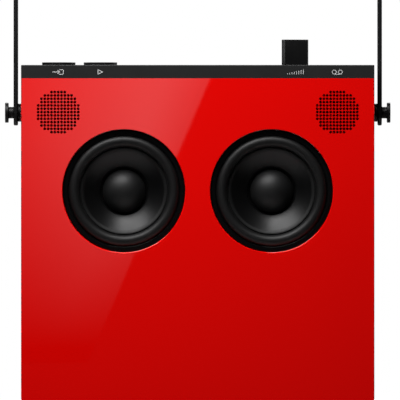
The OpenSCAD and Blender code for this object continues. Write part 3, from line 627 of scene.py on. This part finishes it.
def spider_profile():
    """Corrugated centring disc, as a thin closed strip."""
    inner, outer, depth = COIL_R + 0.1 * MM, 25 * MM, 19.1 * MM
    wave_h, waves, half_t, steps = 0.7 * MM, 4, 0.2 * MM, 48
    middle = [(inner + (outer - inner) * k / steps, -depth - wave_h * sin(waves * TURN * k / steps))
              for k in range(steps + 1)]
    middle += [(26 * MM, -19.6 * MM), (28.3 * MM, -19.7 * MM)]
    return [(r, h + half_t) for r, h in middle] + [(r, h - half_t) for r, h in reversed(middle)]


def flex(piece):
    """Bakes the piece's place into its mesh."""
    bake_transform(piece)


def make_woofers():
    rings = []
    for side in SIDES:
        rings.append(lathe(trim_ring_profile(), 160, closed=True))
        rings[-1].transform(at_woofer(side))
        driver = f"{side}_driver"
        surround = finish_piece(f"{side}_surround_roll", lathe(surround_profile(), 160, closed=True), None,
                                rubber, [f"{side}_surround"], at_woofer(side))
        flex(surround)
        spider = finish_piece(f"{side}_spider_weave", lathe(spider_profile(), 96, closed=True), None,
                              spider_cloth, [f"{side}_spider"], at_woofer(side), sharp=60)
        flex(spider)
        finish_piece(f"{side}_cone_fibre", lathe(cone_profile(), 160, closed=True), driver,
                     fibre, [f"{side}_cone"], at_woofer(side))
        finish_piece(f"{side}_dust_cap_dome", lathe(cap_profile(), 128), driver, cap,
                     [f"{side}_dust_cap"], at_woofer(side))
    finish_piece("woofer_trim_rings_turned", joined(rings), "cabinet", ring_black,
                 ["woofer_trim_rings"])


# ---------------------------------------------------------------- handle and its screws

def make_handle():
    """A flat bar, cut with round ends and two holes, then bent twice."""
    end_r = (arm_high.y - arm_low.y) / 2
    bend_r = BEND_OUTER_R - BAR_T / 2
    corner_x, corner_z = arm_high.x - BEND_OUTER_R, arm_high.z - BEND_OUTER_R
    straight = corner_z - pivot_z
    around = bend_r * pi / 2
    across = 2 * corner_x
    total = 2 * straight + 2 * around + across
    soft, hole_r, hole_soft, steps = 0.7 * MM, 3.05 * MM, 0.3 * MM, 14
    outline = arc(total, 0, end_r, -90, 90, 32) + arc(0, 0, end_r, 90, 270, 32)
    holes = [(circle(s, 0, hole_r, 48), hole_soft) for s in (0, total)]
    bm = plate(outline, holes, BAR_T, soft, soft)
    for first in (straight, straight + around + across):
        for k in range(steps + 1):
            bmesh.ops.bisect_plane(bm, geom=bm.verts[:] + bm.edges[:] + bm.faces[:],
                                   plane_co=(first + around * k / steps, 0, 0), plane_no=(1, 0, 0), dist=1e-8)

    def bent(s, out):
        """Where a point s along the bar and out from its middle fibre lands, as (x, z)."""
        if s > total / 2:
            x, z = bent(total - s, out)
            return -x, z
        if s <= straight:
            return -(arm_high.x - BAR_T / 2 + out), pivot_z + s
        if s <= straight + around:
            a = (s - straight) / bend_r
            return -corner_x - (bend_r + out) * cos(a), corner_z + (bend_r + out) * sin(a)
        return -corner_x + (s - straight - around), corner_z + bend_r + out

    for v in bm.verts:
        x, z = bent(v.co.x, v.co.z + BAR_T / 2)
        v.co = Vector((x, v.co.y, z))
    finish_piece("handle_bar", bm, "handle", bar_black, ["handle"], sharp=30)


def make_thumbscrew(side, sign):
    """A turned head with a shallow recess, a short neck, and a shank through the bar into the cabinet."""
    head_t, head_r, recess_r, soft = 2.3 * MM, 6.65 * MM, 3.4 * MM, 0.35 * MM
    neck_l, neck_r, fillet_r = 3.3 * MM, 3.85 * MM, 0.3 * MM
    shoulder_r, shoulder_l, shank_r = 3 * MM, 2.9 * MM, 2.5 * MM
    base = -(head_t + neck_l)
    low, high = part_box(f"{side}_thumbscrew")
    outer, inner = (high.x, low.x) if sign > 0 else (-low.x, -high.x)
    shank_end = inner - outer
    profile = [(0, -soft), (recess_r, -soft), (recess_r + 0.3 * MM, 0)]
    profile += arc(head_r - soft, -soft, soft, 90, 0, 5)
    profile += arc(head_r - soft, -head_t + soft, soft, 0, -90, 5)
    profile += arc(neck_r + fillet_r, -head_t - fillet_r, fillet_r, 90, 180, 4)
    profile += [(neck_r, base + 0.2 * MM), (neck_r - 0.2 * MM, base), (shoulder_r, base),
                (shoulder_r, base - shoulder_l), (shank_r, base - shoulder_l - 0.1 * MM),
                (shank_r, shank_end + 0.3 * MM), (shank_r - 0.3 * MM, shank_end), (0, shank_end)]
    finish_piece(f"{side}_thumbscrew_turned", lathe(profile, 96), f"{side}_clamp",
                 screw_black, [f"{side}_thumbscrew"], facing_side(sign, sign * outer, 0, pivot_z))


def make_washer(side, sign):
    low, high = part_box(f"{side}_pivot_washer")
    thick, r, hole_r = high.x - low.x, (high.z - low.z) / 2, 2.8 * MM
    ring = fillet([(hole_r, 0, 0.1 * MM), (r, 0, 0.3 * MM), (r, -thick, 0.2 * MM), (hole_r, -thick, 0)])
    finish_piece(f"{side}_pivot_washer_turned", lathe(ring, 96, closed=True), "cabinet",
                 screw_black, [f"{side}_pivot_washer"],
                 facing_side(sign, high.x if sign > 0 else low.x, 0, pivot_z))


# ---------------------------------------------------------------- controls on top

def make_buttons():
    """Slightly dished caps, each with a flange under the strip's skin and a boss over its switch."""
    flange, taper, soft, dip, boss_r, steps = 0.9 * MM, 0.4 * MM, 0.18 * MM, 0.35 * MM, 2.4 * MM, 16
    skin = body_top - 2.5 * MM
    flange_top, flange_low, roof = skin - 0.3 * MM, skin - 1.1 * MM, skin + 1.2 * MM
    for name in ("input", "play"):
        node = f"{name}_button"
        low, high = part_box(node)
        middle = (low + high) / 2
        r = (high.x - low.x) / 2 - flange
        hollow_r = r - 1.6 * MM
        profile = [(r * 0.96 * k / steps, high.z - dip * (1 - (k / steps) ** 2)) for k in range(steps + 1)]
        profile += arc(r - soft, high.z - soft, soft, 90, 0, 5)
        profile += [(r - taper, flange_top), (r + flange, flange_top), (r + flange, flange_low),
                    (hollow_r, flange_low), (hollow_r, roof), (boss_r, roof), (boss_r, low.z), (0, low.z)]
        finish_piece(f"{name}_button_cap", lathe(profile, 128), f"{name}_key",
                     turned_black(f"{name}_key_black", (0.003, 0.003, 0.0031), 0.38, middle),
                     [node], Matrix.Translation((middle.x, middle.y, 0)))


def make_knob():
    """A round knob with one flat, turned a little to the right."""
    low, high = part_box("volume_knob")
    middle = (low + high) / 2
    r, flat, turn = (high.x - low.x) / 2, 4.6 * MM, 10
    half = asin(flat / r) * 180 / pi
    bm = plate(arc(0, 0, r, turn - half, 180 + half + turn, 84), [], high.z - low.z, 0.16 * MM, 0.2 * MM, 5)
    bm.transform(Matrix.Translation((0, 0, high.z)))
    finish_piece("volume_knob_body", bm, "volume_control",
                 turned_black("knob_black", (0.003, 0.003, 0.0031), 0.42, middle),
                 ["volume_knob"], Matrix.Translation((middle.x, middle.y, 0)), sharp=30)


def make_disc():
    """Turning disc with a finger dimple near its rim."""
    low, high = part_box("tape_disc")
    middle = (low + high) / 2
    r, top = (high.x - low.x) / 2, high.z
    dimple_x, dimple_r, ball, rim = 6.4 * MM, 3 * MM, 6 * MM, 0.5 * MM
    soft, plate_t, stem_r, rings = 0.3 * MM, 2 * MM, 5 * MM, 44
    profile = [((r - soft) * k / rings, top) for k in range(rings + 1)]
    profile += arc(r - soft, top - soft, soft, 90, 0, 5)[1:]
    profile += [(r, top - plate_t), (stem_r, top - plate_t), (stem_r, low.z), (0, low.z)]
    bm = lathe(profile, 128)
    for v in bm.verts:
        d = hypot(v.co.x - dimple_x, v.co.y)
        if d < dimple_r and v.co.z > top - 0.001 * MM:
            depth = sqrt(ball ** 2 - d ** 2) - sqrt(ball ** 2 - dimple_r ** 2)
            v.co.z -= depth * min(1.0, sqrt((dimple_r - d) / rim))
    finish_piece("tape_disc_turned", bm, "tape_control",
                 turned_black("disc_black", (0.008, 0.008, 0.0082), 0.36, middle),
                 ["tape_disc"], Matrix.Translation((middle.x, middle.y, 0)), sharp=40)


def make_feet():
    low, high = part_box("feet")
    inset, depth = 8 * MM, high.z - low.z
    profile = [(0, 0), (6.6 * MM, 0), (7.0 * MM, 0.1 * MM), (7.5 * MM, 0.5 * MM), (7.8 * MM, 0.9 * MM),
               (8 * MM, depth), (0, depth)]
    for sx, x in (("left", low.x + inset), ("right", high.x - inset)):
        for sy, y in (("front", low.y + inset), ("back", high.y - inset)):
            finish_piece(f"{sx}_{sy}_foot", lathe(profile, 64), "cabinet", foot_rubber,
                         ["feet"], Matrix.Translation((x, y, low.z)))


# ---------------------------------------------------------------- printed symbols on the strip

def stroke(a, b, width):
    """The outline of a thin line with square ends from one point to another."""
    a, b = Vector(a), Vector(b)
    along = (b - a).normalized() * width / 2
    side = Vector((-along.y, along.x))
    return [tuple(p) for p in (a - along - side, b + along - side, b + along + side, a - along + side)]


def make_symbols():
    """Generic signs: an arrow into a bracket, a triangle, eight rising bars and two reels."""
    line, half, ink_t, proud = 0.36 * MM, 1.5 * MM, 0.1 * MM, 0.01 * MM
    z = (strip_low.z + strip_high.z) / 2 + 0.6 * MM
    parts = []

    def add(outline, holes=()):
        parts.append(plate(outline, holes, ink_t, 0.0, steps=1))

    def lines(x, *paths):
        for a, b in paths:
            add(stroke((x + a[0] * MM, z + a[1] * MM), (x + b[0] * MM, z + b[1] * MM), line))

    lines(centre("input_button").x, ((-3.6, 0), (1.2, 0)), ((-0.4, 1.1), (1.2, 0)),
          ((-0.4, -1.1), (1.2, 0)), ((0.9, 1.5), (3.4, 1.5)), ((3.4, 1.5), (3.4, -1.5)),
          ((0.9, -1.5), (3.4, -1.5)))
    lines(centre("play_button").x, ((-1.4, 1.5), (-1.4, -1.5)), ((-1.4, 1.5), (1.8, 0)),
          ((-1.4, -1.5), (1.8, 0)))
    bars = 8
    for k in range(bars):
        x = centre("volume_knob").x + (k - (bars - 1) / 2) * 1.5 * MM
        add(stroke((x, z - half + line / 2), (x, z - half + 2 * half * (k + 1) / bars), line))
    x = centre("tape_disc").x
    for cx in (x - 2 * MM, x + 2 * MM):
        add(circle(cx, z, half, 28), [(circle(cx, z, half - line, 28), 0)])
    lines(x, ((-2, -1.5), (2, -1.5)))
    finish_piece("strip_symbols", joined(parts), "cabinet", ink(),
                 place=facing_front(0, strip_low.y - proud, 0), flat_normal=UP)


make_front_panel()
make_woofers()
make_handle()
for side, sign in SIDES.items():
    make_thumbscrew(side, sign)
    make_washer(side, sign)
make_buttons()
make_knob()
make_disc()
make_feet()
make_symbols()


# ---------------------------------------------------------------- camera, lights and floor

VIEW_W = 263.7 * MM       # width that the view takes in at the front face
VIEW_X = 1.5 * MM         # the camera's place across
VIEW_DROP = 89.05 * MM    # the camera's height below the top of the body
CAMERA_FAR = 7.0          # its distance from the front face
SENSOR = 36.0


def make_camera():
    data = bpy.data.cameras.new("camera")
    data.sensor_width = SENSOR
    data.lens = SENSOR * CAMERA_FAR / VIEW_W
    data.clip_start, data.clip_end = 0.1, 50
    camera = bpy.data.objects.new("camera", data)
    camera.location = (VIEW_X, face_y - CAMERA_FAR, body_top - VIEW_DROP)
    camera.rotation_euler = (pi / 2, 0, 0)
    bpy.context.scene.collection.objects.link(camera)
    bpy.context.scene.camera = camera
    return camera


def area_light(name, place, aim, width, height, power, spread=180):
    data = bpy.data.lights.new(name, "AREA")
    data.shape, data.size, data.size_y = "RECTANGLE", width, height
    data.energy, data.spread = power, radians(spread)
    light = bpy.data.objects.new(name, data)
    light.location = place
    light.rotation_euler = (Vector(aim) - Vector(place)).to_track_quat("-Z", "Y").to_euler()
    bpy.context.scene.collection.objects.link(light)


def stage_object(name, bm, material):
    mesh = bpy.data.meshes.new(name)
    bm.to_mesh(mesh)
    bm.free()
    mesh.materials.append(material)
    thing = bpy.data.objects.new(name, mesh)
    bpy.context.scene.collection.objects.link(thing)
    return thing


def fading_glow(name, strength, fades):
    """An emission that fades over object coordinates.

    Each fade is (direction, start, end, low, high): the glow is multiplied by a factor that runs from low
    to high as the distance along that (x, z) direction goes from start to end.
    """
    material = bpy.data.materials.new(name)
    material.use_nodes = True
    nodes, links = material.node_tree.nodes, material.node_tree.links
    nodes.clear()
    place = nodes.new("ShaderNodeTexCoord").outputs["Object"]
    level = nodes.new("ShaderNodeValue")
    level.outputs["Value"].default_value = strength
    total = level.outputs["Value"]
    for direction, start, end, low, high in fades:
        along = nodes.new("ShaderNodeVectorMath")
        along.operation = "DOT_PRODUCT"
        along.inputs[1].default_value = (direction[0], 0, direction[1])
        links.new(place, along.inputs[0])
        fade = nodes.new("ShaderNodeMapRange")
        for key, value in (("From Min", start), ("From Max", end), ("To Min", low), ("To Max", high)):
            fade.inputs[key].default_value = value
        links.new(along.outputs["Value"], fade.inputs["Value"])
        product = nodes.new("ShaderNodeMath")
        product.operation = "MULTIPLY"
        links.new(total, product.inputs[0])
        links.new(fade.outputs["Result"], product.inputs[1])
        total = product.outputs["Value"]
    glow = nodes.new("ShaderNodeEmission")
    links.new(total, glow.inputs["Strength"])
    links.new(glow.outputs["Emission"], nodes.new("ShaderNodeOutputMaterial").inputs["Surface"])
    return material


def make_soft_card(camera):
    """The soft card that the glossy panel mirrors on its left, which only reflections see.

    It is cut off along a slanting edge, is brightest near that edge at the top, and fades out downwards. It
    is drawn as it shows on the panel, then set in front of it and enlarged about the camera's axis, which
    puts every point where the panel mirrors it.
    """
    distance, tilt, edge_x = 2.0, radians(23.3), 12 * MM
    left, low, high = -0.2, 0.03, 0.26
    slant = (cos(tilt), -sin(tilt))
    edge = edge_x * slant[0] + strip_high.z * slant[1]
    low_right, high_right = [(edge - z * slant[1]) / slant[0] for z in (low, high)]
    outline = [(left, low), (low_right, low), (high_right, high), (left, high)]
    bm = bmesh.new()
    bm.faces.new([bm.verts.new((x, 0, z)) for x, z in outline])
    glow = fading_glow("soft_card", 1.3, [((0, 1), 0.040, 0.172, 0, 1), ((1, 0), -0.115, -0.038, 0.38, 1),
                                          (slant, edge - 0.026, edge, 1, 0.55)])
    card = stage_object("soft_card", bm, glow)
    card.visible_camera = card.visible_diffuse = card.visible_shadow = False
    share = distance / CAMERA_FAR
    card.scale = (1 + share,) * 3
    card.location = (-camera.location.x * share, face_y - distance, -camera.location.z * share)


def make_floor():
    """A pale sheet under the speaker.

    Seen directly, it brightens outwards until it meets the white behind it. Seen in a reflection, it darkens
    outwards instead, so that its rim draws no line across the gloss.
    """
    r, thick = 0.32, 0.01
    m = Recipe("floor_white", (0.72, 0.72, 0.72), 0.8)
    m.tint(m.noise(14, 4), (0.69, 0.69, 0.69), 0.5)
    reach = m.add("ShaderNodeVectorMath", Vector=m.place)
    reach.operation = "LENGTH"
    mirrored = m.nodes.new("ShaderNodeLightPath").outputs["Is Glossy Ray"]
    direct = m.fit(mirrored, 1, 0)
    outer = m.fit(reach.outputs["Value"], 0, 1, 0.18, 0.31)
    m.links.new(m.maths("MULTIPLY", outer, direct), m.shader.inputs["Emission Strength"])
    m.shader.inputs["Emission Color"].default_value = (1, 1, 1, 1)
    rim = m.fit(reach.outputs["Value"], 0, 1, 0.13, 0.3)
    m.tint(m.maths("MULTIPLY", rim, mirrored), (0.004, 0.004, 0.004))
    floor = stage_object("floor", lathe([(0, 0), (r, 0), (r, -thick), (0, -thick)], 128), m.material)
    floor.visible_diffuse = False


def make_world():
    """White where the camera sees it, and almost dark for everything else."""
    world = bpy.data.worlds.new("studio")
    bpy.context.scene.world = world
    world.use_nodes = True
    nodes, links = world.node_tree.nodes, world.node_tree.links
    backdrop = nodes["Background"]
    backdrop.inputs["Color"].default_value = (1, 1, 1, 1)
    to_camera = nodes.new("ShaderNodeLightPath").outputs["Is Camera Ray"]
    level = nodes.new("ShaderNodeMapRange")
    level.inputs["To Min"].default_value = 0.02
    level.inputs["To Max"].default_value = 1.0
    links.new(to_camera, level.inputs["Value"])
    links.new(level.outputs["Result"], backdrop.inputs["Strength"])


body_middle = (0, 0, centre("front_panel").z)
area_light("key_overhead", (-0.33, -0.42, 0.84), (-0.1, -0.03, 0.17), 0.6, 0.5, 3.25, 90)
area_light("strip_overhead", (0, -0.42, 0.86), (-0.01, -0.03, 0.17), 0.2, 0.4, 1.05, 90)
area_light("back_left", (-0.9, 0.35, 0.45), body_middle, 0.25, 0.6, 1.8)
area_light("back_right", (0.85, 0.5, 0.4), body_middle, 0.3, 0.6, 1.2)
area_light("back_fill", (0.1, 1.1, 0.8), body_middle, 1.0, 0.6, 9)
make_soft_card(make_camera())
make_floor()
make_world()
bpy.context.scene.view_settings.view_transform = "Standard"
